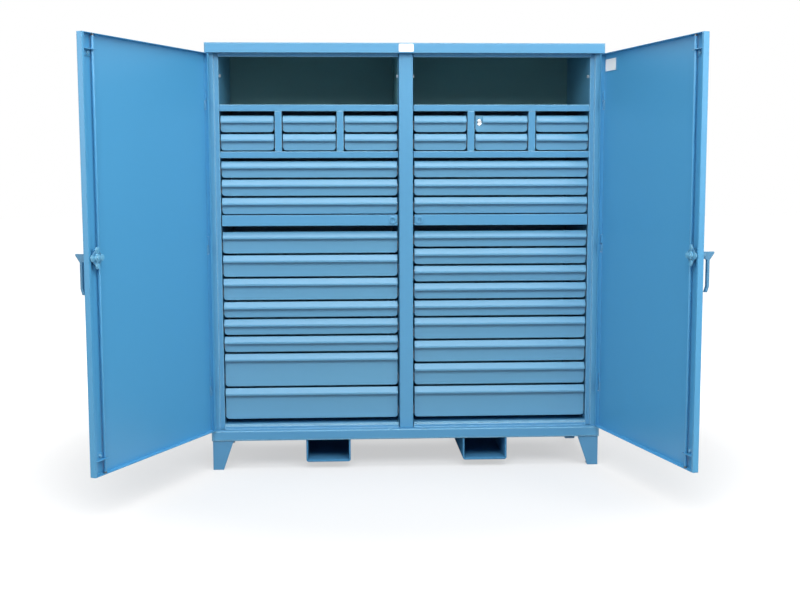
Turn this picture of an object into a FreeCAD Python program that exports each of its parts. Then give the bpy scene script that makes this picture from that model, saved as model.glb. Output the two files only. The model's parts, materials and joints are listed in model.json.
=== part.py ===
import FreeCAD, Part
import os
import Sketcher
from FreeCAD import Placement, Rotation, Vector

doc = FreeCAD.newDocument("drawer_cabinet")
sheet = doc.addObject("Spreadsheet::Sheet", "sizes")

# Driving sizes in millimetres and degrees.
driving = [
    ("cabinet_width", 1829),
    ("cabinet_depth", 610),
    ("body_height", 1836),
    ("leg_height", 138),
    ("shell_sheet", 2.5),
    ("frame_sheet", 3),
    ("liner_sheet", 2),
    ("seam", 0.3),
    ("header_height", 45),
    ("sill_height", 46),
    ("stop_depth", 46),
    ("stop_lip", 15),
    ("door_thickness", 25),
    ("door_sheet", 2),
    ("door_lip", 12),
    ("door_edge_gap", 5),
    ("door_back_gap", 8),
    ("door_meet_gap", 5),
    ("door_hinge_gap", 2),
    ("left_door_open", 115),
    ("right_door_open", 103),
    ("post_width", 57.5),
    ("post_face", 34),
    ("post_step", 15),
    ("post_return", 30),
    ("centre_width", 70),
    ("centre_post_inset", 3),
    ("centre_post_depth", 40),
    ("deck_rise", 24),
    ("deck_clear", 14),
    ("last_drawer_gap", 8),
    ("drawer_unit", 27.3),
    ("bank_pitch", 84),
    ("worktop_slot", 74),
    ("worktop_clear", 5),
    ("worktop_lip", 50),
    ("worktop_sheet", 3),
    ("worktop_back_gap", 64.2),
    ("worktop_ahead", 22),
    ("worktop_flange", 46),
    ("catch_radius", 18),
    ("catch_bore", 9),
    ("catch_sheet", 4),
    ("catch_inset", 22),
    ("rail_height", 30),
    ("rail_setback", 53),
    ("rail_under_gap", 6),
    ("rail_over_gap", 5),
    ("rail_head_gap", 11),
    ("divider_width", 32),
    ("face_setback", 65),
    ("face_sheet", 2),
    ("face_gap", 9),
    ("face_side_gap", 5),
    ("face_corner", 14),
    ("pull_reach", 18),
    ("pull_drop", 24),
    ("pull_lip", 9),
    ("tray_sheet", 1.6),
    ("tray_back_gap", 59.9),
    ("tray_lift", 6),
    ("tray_drop", 18),
    ("slide_space", 14.5),
    ("slide_arm", 10),
    ("slide_height", 36),
    ("slide_wall", 2),
    ("slide_play", 1.5),
    ("slide_rest", 0.4),
    ("slide_lift", 8),
    ("slide_front", 12),
    ("slide_back_gap", 65.9),
    ("knuckle_radius", 8),
    ("knuckle_length", 40),
    ("knuckle_gap", 1),
    ("knuckle_notch", 10),
    ("pin_radius", 4),
    ("pin_play", 0.5),
    ("pin_rise", 30),
    ("leaf_sheet", 3),
    ("leaf_length", 65),
    ("hinge_end", 170),
    ("rod_radius", 6),
    ("rod_inset", 78),
    ("rod_clear", 0.5),
    ("rod_play", 2),
    ("rod_show", 1),
    ("rod_throw", 28),
    ("guide_end", 60),
    ("guide_plate", 3),
    ("guide_height", 28),
    ("guide_reach", 16),
    ("guide_play", 0.4),
    ("handle_height", 920),
    ("handle_width", 13),
    ("handle_reach", 71),
    ("handle_neck", 30),
    ("handle_bar_out", 51),
    ("handle_bar", 11),
    ("handle_length", 148),
    ("handle_kink", 8),
    ("handle_wing", 20),
    ("hub_radius", 14),
    ("hub_stand", 10),
    ("spindle_inset", 48),
    ("spindle_radius", 7),
    ("spindle_play", 1),
    ("bush_wall", 7),
    ("cam_depth", 3.5),
    ("cam_sheet", 3),
    ("cam_rim", 8),
    ("crank_pin_radius", 4),
    ("yoke_play", 1.5),
    ("yoke_wall", 5),
    ("yoke_sheet", 3),
    ("crank_gap", 1.5),
    ("yoke_gap", 3),
    ("keeper_gap", 6),
    ("keeper_half", 42),
    ("leg_top", 97),
    ("leg_foot", 49),
    ("leg_plate", 6),
    ("leg_inset", 4),
    ("anchor_bore", 14),
    ("anchor_inset", 28),
    ("pocket_width", 209),
    ("pocket_height", 106),
    ("pocket_wall", 8),
    ("pocket_corner", 12),
    ("pocket_offset", 370),
    ("pocket_inset", 4),
    ("lock_inset", 19),
    ("lock_rise", 44),
    ("lock_radius", 6),
    ("lock_pull_gap", 4),
    ("lock_play", 1),
    ("lock_stand", 4),
    ("rosette_wide", 11),
    ("rosette_tall", 15),
    ("rosette_sheet", 2),
    ("tongue_sheet", 3),
    ("tongue_half", 6),
    ("tongue_bite", 8),
    ("tongue_clear", 2),
    ("plate_sheet", 1),
    ("header_plate_wide", 68),
    ("header_plate_tall", 36),
    ("door_plate_wide", 112),
    ("door_plate_tall", 56),
    ("door_plate_inset", 18),
    ("door_plate_drop", 26),
    ("bolt_radius", 7),
    ("bolt_head", 6),
    ("bolt_rise", 16.95),
    ("bolt_back", 9),
]


class Names:
    pass


size = Names()
for row, (word, number) in enumerate(driving, start=1):
    sheet.set(f"A{row}", word)
    sheet.set(f"B{row}", str(number))
    sheet.setAlias(f"B{row}", word)
    setattr(size, word, f"sizes.{word}")
doc.recompute()


def num(text):
    return float(sheet.evalExpression(str(text)))


def add(*terms):
    return "(" + " + ".join(str(term) for term in terms) + ")"


def less(first, *terms):
    return "(" + " - ".join(str(term) for term in (first,) + terms) + ")"


def times(first, second):
    return f"({first} * {second})"


def half(text):
    return f"({text} / 2)"


def neg(text):
    return f"(0 - {text})"


def bind(thing, **values):
    for prop, text in values.items():
        thing.setExpression(prop, str(text))


def place(thing, x="0", y="0", z="0"):
    for axis, text in zip("xyz", (x, y, z)):
        thing.setExpression(f"Placement.Base.{axis}", str(text))


def box(label, x, y, z, wide, deep, tall):
    thing = doc.addObject("Part::Box", label)
    bind(thing, Length=wide, Width=deep, Height=tall)
    place(thing, x, y, z)
    return thing


def cylinder(label, x, y, z, radius, length, axis="z"):
    thing = doc.addObject("Part::Cylinder", label)
    turns = {"z": Rotation(), "x": Rotation(Vector(0, 1, 0), 90), "y": Rotation(Vector(1, 0, 0), -90)}
    thing.Placement = Placement(Vector(), turns[axis])
    bind(thing, Radius=radius, Height=length)
    place(thing, x, y, z)
    return thing


def cut(label, base, tool):
    thing = doc.addObject("Part::Cut", label)
    thing.Base = base
    thing.Tool = tool
    return thing


def fuse(label, pieces):
    thing = doc.addObject("Part::MultiFuse", label)
    thing.Shapes = pieces
    thing.Refine = True
    return thing


def gather(label, pieces):
    thing = doc.addObject("Part::Compound", label)
    thing.Links = pieces
    return thing


def plane_of(body, role):
    return [feature for feature in body.Origin.OriginFeatures if feature.Role == role][0]


def new_sketch(body, name, role, offset=None):
    sketch = body.newObject("Sketcher::SketchObject", name)
    sketch.AttachmentSupport = (plane_of(body, role), [""])
    sketch.MapMode = "FlatFace"
    if offset is not None:
        sketch.setExpression("AttachmentOffset.Base.z", str(offset))
    return sketch


def pin_point(sketch, geometry, point, name, x, y):
    for word, kind, text in (("x", "DistanceX", x), ("y", "DistanceY", y)):
        rule = Sketcher.Constraint(kind, -1, 1, geometry, point, num(text))
        rule.Name = f"{word}{name}"
        sketch.addConstraint(rule)
        sketch.setExpression(f"Constraints.{word}{name}", str(text))


def outline(body, name, role, points, offset=None):
    sketch = new_sketch(body, name, role, offset)
    spots = [Vector(num(x), num(y), 0) for x, y in points]
    count = len(spots)
    for i in range(count):
        sketch.addGeometry(Part.LineSegment(spots[i], spots[(i + 1) % count]), False)
    for i in range(count):
        sketch.addConstraint(Sketcher.Constraint("Coincident", i, 2, (i + 1) % count, 1))
    for i, (x, y) in enumerate(points):
        pin_point(sketch, i, 1, i, x, y)
    return sketch


def circles(body, name, role, spots, radius, offset=None):
    sketch = new_sketch(body, name, role, offset)
    for i, (x, y) in enumerate(spots):
        ring = Part.Circle(Vector(num(x), num(y), 0), Vector(0, 0, 1), num(radius))
        sketch.addGeometry(ring, False)
        pin_point(sketch, i, 3, i, x, y)
        rule = Sketcher.Constraint("Radius", i, num(radius))
        rule.Name = f"r{i}"
        sketch.addConstraint(rule)
        sketch.setExpression(f"Constraints.r{i}", str(radius))
    return sketch


def pad(body, name, sketch, length, flip=False):
    feature = body.newObject("PartDesign::Pad", name)
    feature.Profile = sketch
    feature.Reversed = flip
    feature.setExpression("Length", str(length))
    sketch.Visibility = False
    return feature


def pocket(body, name, sketch, length, flip=False):
    feature = body.newObject("PartDesign::Pocket", name)
    feature.Profile = sketch
    feature.Reversed = flip
    feature.setExpression("Length", str(length))
    sketch.Visibility = False
    return feature


def prism(label, role, points, length, x="0", y="0", z="0", flip=False):
    body = doc.addObject("PartDesign::Body", label)
    pad(body, f"{label}_pad", outline(body, f"{label}_profile", role, points), length, flip)
    place(body, x, y, z)
    return body


def rounded(body, name, base, radius, chosen):
    base.recompute(True)
    edges = [f"Edge{i}" for i, edge in enumerate(base.Shape.Edges, start=1) if chosen(edge)]
    feature = body.newObject("PartDesign::Fillet", name)
    feature.Base = (base, edges)
    feature.setExpression("Radius", str(radius))
    return feature


def edge_at(edge, wanted):
    spots = [vertex.Point for vertex in edge.Vertexes]
    if len(spots) != 2:
        return False
    return all(abs(spot[axis] - value) < 1e-4 for spot in spots for axis, value in wanted.items())


sides = (("left", -1), ("right", 1))

# Shared places. X runs to the right, the doors are at the -Y side and Z starts at the floor.
half_width = half(size.cabinet_width)
front = neg(half(size.cabinet_depth))
back = half(size.cabinet_depth)
back_inner = less(back, size.shell_sheet, size.seam)
body_low = size.leg_height
body_top = add(size.leg_height, size.body_height)
sill_top = add(body_low, size.sill_height)
header_low = less(body_top, size.header_height)
inner_width = less(half_width, size.shell_sheet, size.seam)
inner_span = times(2, inner_width)
post_front = add(front, size.door_thickness, size.door_back_gap)
step_front = add(post_front, size.post_step)
post_back = add(step_front, size.post_return)
liner_front = add(post_back, size.seam)
bay_outer = less(half_width, size.post_width)
bay_inner = half(size.centre_width)
bay_width = less(bay_outer, bay_inner)
lip_front = less(add(front, size.stop_depth), size.frame_sheet)
deck_front = add(front, size.stop_depth, size.seam)
deck_top = add(sill_top, size.deck_rise)
stack_low = add(deck_top, size.deck_clear)
stack_top = add(stack_low, times(33, size.drawer_unit))
bank_low = add(stack_top, size.worktop_slot)
wide_top = add(bank_low, times(3, size.bank_pitch))
mid_rail_low = add(wide_top, size.rail_under_gap)
mid_rail_top = add(mid_rail_low, size.rail_height)
small_low = add(mid_rail_top, size.rail_over_gap)
top_rail_low = add(small_low, times(2, size.bank_pitch), size.rail_head_gap)
top_rail_top = add(top_rail_low, size.rail_height)
rail_front = add(front, size.rail_setback)
face_front = add(front, size.face_setback)
tray_front = add(face_front, size.face_sheet, size.seam)
column_width = f"(({bay_width} - 2 * {size.divider_width}) / 3)"
door_low = add(sill_top, size.door_edge_gap)
door_top = less(header_low, size.door_edge_gap)
door_tall = less(door_top, door_low)
door_end = less(half_width, half(size.door_meet_gap))
rod_line = less(door_end, size.rod_inset)
rod_x = less(half_width, rod_line)
spindle_line = less(door_end, size.spindle_inset)
handle_z = add(body_low, size.handle_height)
rod_depth = less(size.door_thickness, size.door_sheet, size.guide_plate, size.rod_clear, size.rod_radius)
tray_depth = less(back_inner, tray_front, size.tray_back_gap)
slide_start = add(tray_front, size.slide_front)
slide_length = less(back_inner, slide_start, size.slide_back_gap)
nodes = []


def bay_left(sign):
    return neg(bay_outer) if sign < 0 else bay_inner


# Outer shell: two end panels with tabs that cover the ends of the header and the sill.
end_outline = [
    (front, body_low),
    (back, body_low),
    (back, body_top),
    (front, body_top),
    (front, header_low),
    (post_front, header_low),
    (post_front, sill_top),
    (front, sill_top),
]
ends = []
for word, sign in sides:
    spot = neg(half_width) if sign < 0 else less(half_width, size.shell_sheet)
    ends.append(prism(f"{word}_end_panel", "YZ_Plane", end_outline, size.shell_sheet, x=spot))
nodes.append(gather("side_panels", ends))

nodes.append(
    box("back_panel", neg(inner_width), less(back, size.shell_sheet), add(body_low, size.seam),
        inner_span, size.shell_sheet, less(size.body_height, times(2, size.seam)))
)

# Header: an angle with two rod holes in its flange, a top sheet and a stop lip for each door.
head_body = doc.addObject("PartDesign::Body", "header_angle")
head_points = [
    (front, header_low),
    (add(front, size.stop_depth), header_low),
    (add(front, size.stop_depth), add(header_low, size.frame_sheet)),
    (add(front, size.frame_sheet), add(header_low, size.frame_sheet)),
    (add(front, size.frame_sheet), less(body_top, size.shell_sheet, size.seam)),
    (front, less(body_top, size.shell_sheet, size.seam)),
]
pad(head_body, "header_pad", outline(head_body, "header_profile", "YZ_Plane", head_points), inner_span)
hole_spots = [
    (add(inner_width, rod_x), add(front, rod_depth)),
    (less(inner_width, rod_x), add(front, rod_depth)),
]
hole_radius = add(size.rod_radius, size.rod_play)
pocket(
    head_body,
    "header_rod_holes",
    circles(head_body, "header_hole_rings", "XY_Plane", hole_spots, hole_radius,
            add(header_low, times(2, size.frame_sheet))),
    times(3, size.frame_sheet),
)
place(head_body, x=neg(inner_width))
top_pieces = [
    head_body,
    box("top_sheet", neg(inner_width), front, less(body_top, size.shell_sheet), inner_span,
        less(size.cabinet_depth, size.shell_sheet, size.seam), size.shell_sheet),
]
for word, sign in sides:
    top_pieces.append(
        box(f"{word}_header_stop", add(bay_left(sign), size.seam), lip_front,
            less(header_low, size.stop_lip), less(bay_width, times(2, size.seam)), size.frame_sheet,
            less(size.stop_lip, size.seam))
    )
nodes.append(gather("top_header", top_pieces))

# Base: a sill angle that mirrors the header, a bottom sheet, and a deck on a riser in each bay.
sill_body = doc.addObject("PartDesign::Body", "sill_angle")
sill_points = [
    (front, add(body_low, size.shell_sheet, size.seam)),
    (add(front, size.frame_sheet), add(body_low, size.shell_sheet, size.seam)),
    (add(front, size.frame_sheet), less(sill_top, size.frame_sheet)),
    (add(front, size.stop_depth), less(sill_top, size.frame_sheet)),
    (add(front, size.stop_depth), sill_top),
    (front, sill_top),
]
pad(sill_body, "sill_pad", outline(sill_body, "sill_profile", "YZ_Plane", sill_points), inner_span)
pocket(
    sill_body,
    "sill_rod_holes",
    circles(sill_body, "sill_hole_rings", "XY_Plane", hole_spots, hole_radius,
            add(sill_top, size.frame_sheet)),
    times(3, size.frame_sheet),
)
place(sill_body, x=neg(inner_width))
base_pieces = [
    sill_body,
    box("bottom_sheet", neg(inner_width), front, body_low, inner_span,
        less(size.cabinet_depth, size.shell_sheet, size.seam), size.shell_sheet),
]
for word, sign in sides:
    left_edge = add(bay_left(sign), size.seam)
    clear_width = less(bay_width, times(2, size.seam))
    base_pieces.append(
        box(f"{word}_sill_stop", left_edge, lip_front, add(sill_top, size.seam), clear_width,
            size.frame_sheet, less(size.stop_lip, size.seam))
    )
    base_pieces.append(
        box(f"{word}_deck", left_edge, deck_front, less(deck_top, size.liner_sheet), clear_width,
            less(back_inner, deck_front), size.liner_sheet)
    )
    base_pieces.append(
        box(f"{word}_deck_riser", left_edge, deck_front, add(body_low, size.shell_sheet, size.seam),
            clear_width, size.liner_sheet,
            less(deck_top, size.liner_sheet, size.seam, body_low, size.shell_sheet, size.seam))
    )
nodes.append(gather("base_sill", base_pieces))

# Centre partition: a channel post between the bays and a liner sheet for each bay behind it.
half_post = less(bay_inner, size.centre_post_inset)
centre_points = [
    (neg(half_post), post_front),
    (half_post, post_front),
    (half_post, add(post_front, size.centre_post_depth)),
    (less(half_post, size.frame_sheet), add(post_front, size.centre_post_depth)),
    (less(half_post, size.frame_sheet), add(post_front, size.frame_sheet)),
    (neg(less(half_post, size.frame_sheet)), add(post_front, size.frame_sheet)),
    (neg(less(half_post, size.frame_sheet)), add(post_front, size.centre_post_depth)),
    (neg(half_post), add(post_front, size.centre_post_depth)),
]
post_low = add(sill_top, size.seam)
post_tall = less(header_low, sill_top, times(2, size.seam))
liner_low = add(body_low, size.shell_sheet, size.seam)
liner_tall = less(size.body_height, times(2, size.shell_sheet), times(2, size.seam))
liner_deep = less(back_inner, liner_front)
centre_post = doc.addObject("PartDesign::Body", "centre_post")
centre_pad = pad(
    centre_post, "centre_post_pad",
    outline(centre_post, "centre_post_profile", "XY_Plane", centre_points), post_tall,
)
rounded(
    centre_post, "centre_post_bends", centre_pad, size.frame_sheet,
    lambda edge: any(
        edge_at(edge, {0: spot, 1: num(post_front)}) for spot in (num(half_post), -num(half_post))
    ),
)
place(centre_post, z=post_low)
partition = [centre_post]
for word, sign in sides:
    spot = neg(bay_inner) if sign < 0 else less(bay_inner, size.liner_sheet)
    partition.append(
        box(f"{word}_centre_liner", spot, liner_front, liner_low, size.liner_sheet, liner_deep, liner_tall)
    )
nodes.append(gather("centre_partition", partition))

# Door posts: bent in two steps, the outer step carries the door and the inner one frames the bay.
posts = []
for word, sign in sides:
    step_x = less(inner_width, size.post_face)
    post_points = [
        (inner_width, post_front),
        (step_x, post_front),
        (step_x, step_front),
        (bay_outer, step_front),
        (bay_outer, post_back),
        (add(bay_outer, size.frame_sheet), post_back),
        (add(bay_outer, size.frame_sheet), add(step_front, size.frame_sheet)),
        (add(step_x, size.frame_sheet), add(step_front, size.frame_sheet)),
        (add(step_x, size.frame_sheet), add(post_front, size.frame_sheet)),
        (inner_width, add(post_front, size.frame_sheet)),
    ]
    turned = [(times(sign, x), y) for x, y in post_points]
    posts.append(prism(f"{word}_door_post", "XY_Plane", turned, post_tall, z=post_low))
nodes.append(gather("door_posts", posts))

# Legs: two tapered plates that meet in a corner and a foot plate with an anchor hole.
legs = []
leg_tall = less(size.leg_height, size.seam)
for word, sign in sides:
    for end, facing in (("front", -1), ("rear", 1)):
        name = f"{word}_{end}_leg"
        corner_x = times(sign, less(half_width, size.leg_inset))
        corner_y = times(facing, less(half(size.cabinet_depth), size.leg_inset))
        taper = [("0", "0"), (size.leg_foot, "0"), (size.leg_top, leg_tall), ("0", leg_tall)]
        body = doc.addObject("PartDesign::Body", name)
        across = [(times(-sign, a), b) for a, b in taper]
        pad(body, f"{name}_across", outline(body, f"{name}_across_profile", "XZ_Plane", across),
            size.leg_plate, flip=facing < 0)
        along = [(times(-facing, a), b) for a, b in taper]
        pad(body, f"{name}_along", outline(body, f"{name}_along_profile", "YZ_Plane", along),
            size.leg_plate, flip=sign > 0)
        foot = [
            ("0", "0"),
            (times(-sign, size.leg_foot), "0"),
            (times(-sign, size.leg_foot), times(-facing, size.leg_foot)),
            ("0", times(-facing, size.leg_foot)),
        ]
        pad(body, f"{name}_foot", outline(body, f"{name}_foot_profile", "XY_Plane", foot), size.leg_plate)
        anchor = [(times(-sign, size.anchor_inset), times(-facing, size.anchor_inset))]
        pocket(
            body, f"{name}_anchor_hole",
            circles(body, f"{name}_anchor_ring", "XY_Plane", anchor, half(size.anchor_bore),
                    times(2, size.leg_plate)),
            times(3, size.leg_plate),
        )
        place(body, corner_x, corner_y, "0")
        legs.append(body)
nodes.append(gather("legs", legs))

# Fork pockets: channels under the bottom sheet, open at the front and the back.
pockets = []
for word, sign in sides:
    name = f"{word}_fork_pocket"
    reach = half(size.pocket_width)
    inside = less(reach, size.pocket_wall)
    low = less(body_low, size.seam, size.pocket_height)
    high = less(body_low, size.seam)
    channel = [
        (neg(reach), high),
        (neg(reach), low),
        (reach, low),
        (reach, high),
        (inside, high),
        (inside, add(low, size.pocket_wall)),
        (neg(inside), add(low, size.pocket_wall)),
        (neg(inside), high),
    ]
    body = doc.addObject("PartDesign::Body", name)
    run = pad(body, f"{name}_pad", outline(body, f"{name}_profile", "XZ_Plane", channel),
              less(size.cabinet_depth, times(2, size.pocket_inset)), flip=True)
    rounded(
        body, f"{name}_bends", run, size.pocket_corner,
        lambda edge: any(edge_at(edge, {0: spot, 2: num(low)}) for spot in (num(reach), -num(reach))),
    )
    place(body, times(sign, size.pocket_offset), add(front, size.pocket_inset), "0")
    pockets.append(body)
nodes.append(gather("fork_pockets", pockets))

# Bank frames: bay liners, the two shelves of each bay with their rails, and the column dividers.
frames = []
for word, sign in sides:
    edge = bay_left(sign)
    left_edge = add(edge, size.seam)
    clear_width = less(bay_width, times(2, size.seam))
    spot = neg(add(bay_outer, size.liner_sheet)) if sign < 0 else bay_outer
    frames.append(
        box(f"{word}_bay_liner", spot, liner_front, liner_low, size.liner_sheet, liner_deep, liner_tall)
    )
    for level, low, top in (("mid", mid_rail_low, mid_rail_top), ("top", top_rail_low, top_rail_top)):
        frames.append(
            box(f"{word}_{level}_rail", left_edge, rail_front, low, clear_width, size.liner_sheet,
                size.rail_height)
        )
        shelf_front = add(rail_front, size.liner_sheet, size.seam)
        frames.append(
            box(f"{word}_{level}_shelf", left_edge, shelf_front, less(top, size.liner_sheet), clear_width,
                less(back_inner, shelf_front), size.liner_sheet)
        )
    for column in (1, 2):
        start = add(edge, times(column, column_width), times(column - 1, size.divider_width))
        wide = size.divider_width
        wall = size.liner_sheet
        divider = [
            ("0", rail_front),
            (wide, rail_front),
            (wide, back_inner),
            (less(wide, wall), back_inner),
            (less(wide, wall), add(rail_front, wall)),
            (wall, add(rail_front, wall)),
            (wall, back_inner),
            ("0", back_inner),
        ]
        frames.append(
            prism(f"{word}_divider_{column}", "XY_Plane", divider,
                  less(top_rail_low, mid_rail_top, times(2, size.seam)), x=start,
                  z=add(mid_rail_top, size.seam))
        )
nodes.append(gather("bank_frames", frames))

fixed_runners = []
bar_wide = less(size.slide_space, times(2, size.seam), size.slide_wall, size.slide_play)
bar_tall = less(size.slide_height, times(2, size.slide_wall), size.slide_play, size.slide_rest)


def runner_pair(label, edge, wide, tray_low):
    # A channel on each wall of the opening, and the bar on the moving piece that runs inside it.
    bars = []
    low = add(tray_low, size.slide_lift)
    bar_low = add(low, size.slide_wall, size.slide_rest)
    far = add(edge, wide)
    for hand, channel_x, hollow_x, bar_x in (
        ("left", add(edge, size.seam), add(edge, size.seam, size.slide_wall),
         add(edge, size.seam, size.slide_wall, size.slide_play)),
        ("right", less(far, size.seam, size.slide_arm), less(far, size.seam, times(2, size.slide_arm)),
         less(far, size.slide_space, neg(size.seam))),
    ):
        hollow_wide = size.slide_arm if hand == "left" else less(times(2, size.slide_arm), size.slide_wall)
        outer = box(f"{label}_{hand}_channel_bar", channel_x, slide_start, low, size.slide_arm,
                    slide_length, size.slide_height)
        hollow = box(f"{label}_{hand}_channel_hollow", hollow_x, less(slide_start, "1"),
                     add(low, size.slide_wall), hollow_wide, add(slide_length, "2"),
                     less(size.slide_height, times(2, size.slide_wall)))
        fixed_runners.append(cut(f"{label}_{hand}_channel", outer, hollow))
        bars.append(
            box(f"{label}_{hand}_bar", bar_x, slide_start, bar_low, bar_wide, slide_length, bar_tall)
        )
    return bars


def drawer(label, edge, wide, low, tall, locked=False):
    face_wide = less(wide, times(2, size.face_side_gap))
    face = doc.addObject("PartDesign::Body", f"{label}_front")
    sheet_points = [("0", "0"), (face_wide, "0"), (face_wide, tall), ("0", tall)]
    last = pad(face, f"{label}_face", outline(face, f"{label}_face_profile", "XZ_Plane", sheet_points),
               size.face_sheet, flip=True)
    last = rounded(
        face, f"{label}_corners", last, size.face_corner,
        lambda edge_: any(edge_at(edge_, {0: spot, 2: 0.0}) for spot in (0.0, num(face_wide))),
    )
    shoulder = less(tall, size.pull_drop)
    pull = [
        ("0", tall),
        (neg(size.pull_reach), shoulder),
        (neg(size.pull_reach), less(shoulder, size.pull_lip)),
        (less(size.face_sheet, size.pull_reach), less(shoulder, size.pull_lip)),
        (less(size.face_sheet, size.pull_reach), less(shoulder, half(size.face_sheet))),
        ("0", less(tall, times(2, size.face_sheet))),
    ]
    # The pull spans the whole front, but starts beside the rosette on a drawer with a lock.
    pull_start = add(size.lock_inset, size.rosette_wide, size.lock_pull_gap) if locked else "0"
    pad(face, f"{label}_pull", outline(face, f"{label}_pull_profile", "YZ_Plane", pull, pull_start),
        less(face_wide, pull_start))
    tray_low = add(low, size.tray_lift)
    tray_tall = less(tall, size.tray_lift, size.tray_drop)
    tray_wide = less(wide, times(2, size.slide_space))
    tray_x = add(edge, size.slide_space)
    outer = box(f"{label}_tray_block", tray_x, tray_front, tray_low, tray_wide, tray_depth, tray_tall)
    inner = box(f"{label}_tray_hollow", add(tray_x, size.tray_sheet), add(tray_front, size.tray_sheet),
                add(tray_low, size.tray_sheet), less(tray_wide, times(2, size.tray_sheet)),
                less(tray_depth, times(2, size.tray_sheet)), tray_tall)
    tray = cut(f"{label}_tray", outer, inner)
    pieces = []
    if locked:
        hole = add(size.lock_radius, size.lock_play)
        pocket(face, f"{label}_lock_hole",
               circles(face, f"{label}_lock_ring", "XZ_Plane", [(size.lock_inset, size.lock_rise)], hole,
                       size.face_sheet),
               times(3, size.face_sheet))
        axis_x = add(edge, size.face_side_gap, size.lock_inset)
        axis_z = add(low, size.lock_rise)
        bore = cylinder(f"{label}_tray_bore", axis_x, face_front, axis_z, hole,
                        times(6, size.face_sheet), "y")
        tray = cut(f"{label}_bored_tray", tray, bore)
        oval = doc.addObject("Part::Ellipse", f"{label}_rosette_oval")
        bind(oval, MajorRadius=size.rosette_tall, MinorRadius=size.rosette_wide)
        oval.Placement = Placement(Vector(), Rotation(Vector(1, 1, 1), 240))
        place(oval, axis_x, less(face_front, size.seam), axis_z)
        disc = doc.addObject("Part::Extrusion", f"{label}_rosette_disc")
        disc.Base = oval
        disc.DirMode = "Custom"
        disc.Dir = Vector(0, -1, 0)
        disc.Solid = True
        bind(disc, LengthFwd=size.rosette_sheet)
        ring = cylinder(f"{label}_rosette_bore", axis_x, less(face_front, times(4, size.rosette_sheet)),
                        axis_z, hole, times(8, size.rosette_sheet), "y")
        pieces.append(cut(f"{label}_rosette", disc, ring))
    place(face, add(edge, size.face_side_gap), face_front, low)
    bars = runner_pair(label, edge, wide, tray_low)
    return gather(label, [face, tray] + bars + pieces)


drawers = []
lower_units = {"left": (4, 4, 4, 3, 3, 3, 6, 6), "right": (3, 3, 3, 3, 3, 4, 4, 4, 6)}
face_tall = less(size.bank_pitch, size.face_gap)
for word, sign in sides:
    edge = bay_left(sign)
    for number in range(1, 7):
        row, column = divmod(number - 1, 3)
        start = add(edge, times(column, add(column_width, size.divider_width)))
        low = add(small_low, times(1 - row, size.bank_pitch))
        locked = word == "right" and number == 2
        drawers.append(drawer(f"{word}_small_drawer_{number}", start, column_width, low, face_tall, locked))
    for number in range(1, 4):
        low = add(bank_low, times(3 - number, size.bank_pitch))
        drawers.append(drawer(f"{word}_wide_drawer_{number}", edge, bay_width, low, face_tall))
    below = sum(lower_units[word])
    for number, units in enumerate(lower_units[word], start=1):
        below = below - units
        low = add(stack_low, times(below, size.drawer_unit))
        tall = less(times(units, size.drawer_unit), size.face_gap)
        if below == 0:
            low = add(low, size.last_drawer_gap)
            tall = less(tall, size.last_drawer_gap)
        drawers.append(drawer(f"{word}_lower_drawer_{number}", edge, bay_width, low, tall))

# Pull-out worktops: a folded top with a front lip, hung on flanges between two slides.
worktops = []
work_top = less(bank_low, size.worktop_clear)
work_front = less(face_front, size.worktop_ahead)
for word, sign in sides:
    edge = bay_left(sign)
    label = f"{word}_worktop"
    wall = size.worktop_sheet
    work_back = less(back_inner, size.worktop_back_gap)
    fold = [
        (work_front, work_top),
        (work_front, less(work_top, size.worktop_lip)),
        (add(work_front, wall), less(work_top, size.worktop_lip)),
        (add(work_front, wall), less(work_top, wall)),
        (work_back, less(work_top, wall)),
        (work_back, work_top),
    ]
    top = prism(f"{label}_top", "YZ_Plane", fold, less(bay_width, times(2, size.face_side_gap)),
                x=add(edge, size.face_side_gap))
    flange_low = less(work_top, wall, size.worktop_flange)
    pieces = [top]
    for hand, spot in (
        ("left", add(edge, size.slide_space)),
        ("right", less(add(edge, bay_width), size.slide_space, size.liner_sheet)),
    ):
        pieces.append(
            box(f"{label}_{hand}_flange", spot, slide_start, flange_low, size.liner_sheet, slide_length,
                less(size.worktop_flange, size.seam))
        )
    # A ring plate on the lip, at the end beside the centre post, is the finger hold that draws it out.
    catch_reach = add(size.face_side_gap, size.catch_inset)
    catch_x = less(add(edge, bay_width), catch_reach) if sign < 0 else add(edge, catch_reach)
    catch_z = less(work_top, half(size.worktop_lip))
    catch_y = less(work_front, size.seam, size.catch_sheet)
    disc = cylinder(f"{label}_catch_disc", catch_x, catch_y, catch_z, size.catch_radius,
                    size.catch_sheet, "y")
    eye = cylinder(f"{label}_catch_eye", catch_x, less(catch_y, "1"), catch_z, size.catch_bore,
                   add(size.catch_sheet, "2"), "y")
    pieces.append(cut(f"{label}_catch", disc, eye))
    pieces.extend(runner_pair(label, edge, bay_width, less(flange_low, half(size.slide_lift))))
    worktops.append(gather(label, pieces))
nodes.append(gather("drawer_runners", fixed_runners))


def hang(thing, sign):
    # Door pieces are drawn closed with the hinge axis at their origin, then swung open about it.
    thing.Placement = Placement(Vector(), Rotation(Vector(0, 0, sign), 1))
    place(thing, times(sign, half_width), front, "0")
    opened = size.left_door_open if sign < 0 else size.right_door_open
    thing.setExpression("Placement.Rotation.Angle", opened)
    return thing


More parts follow.
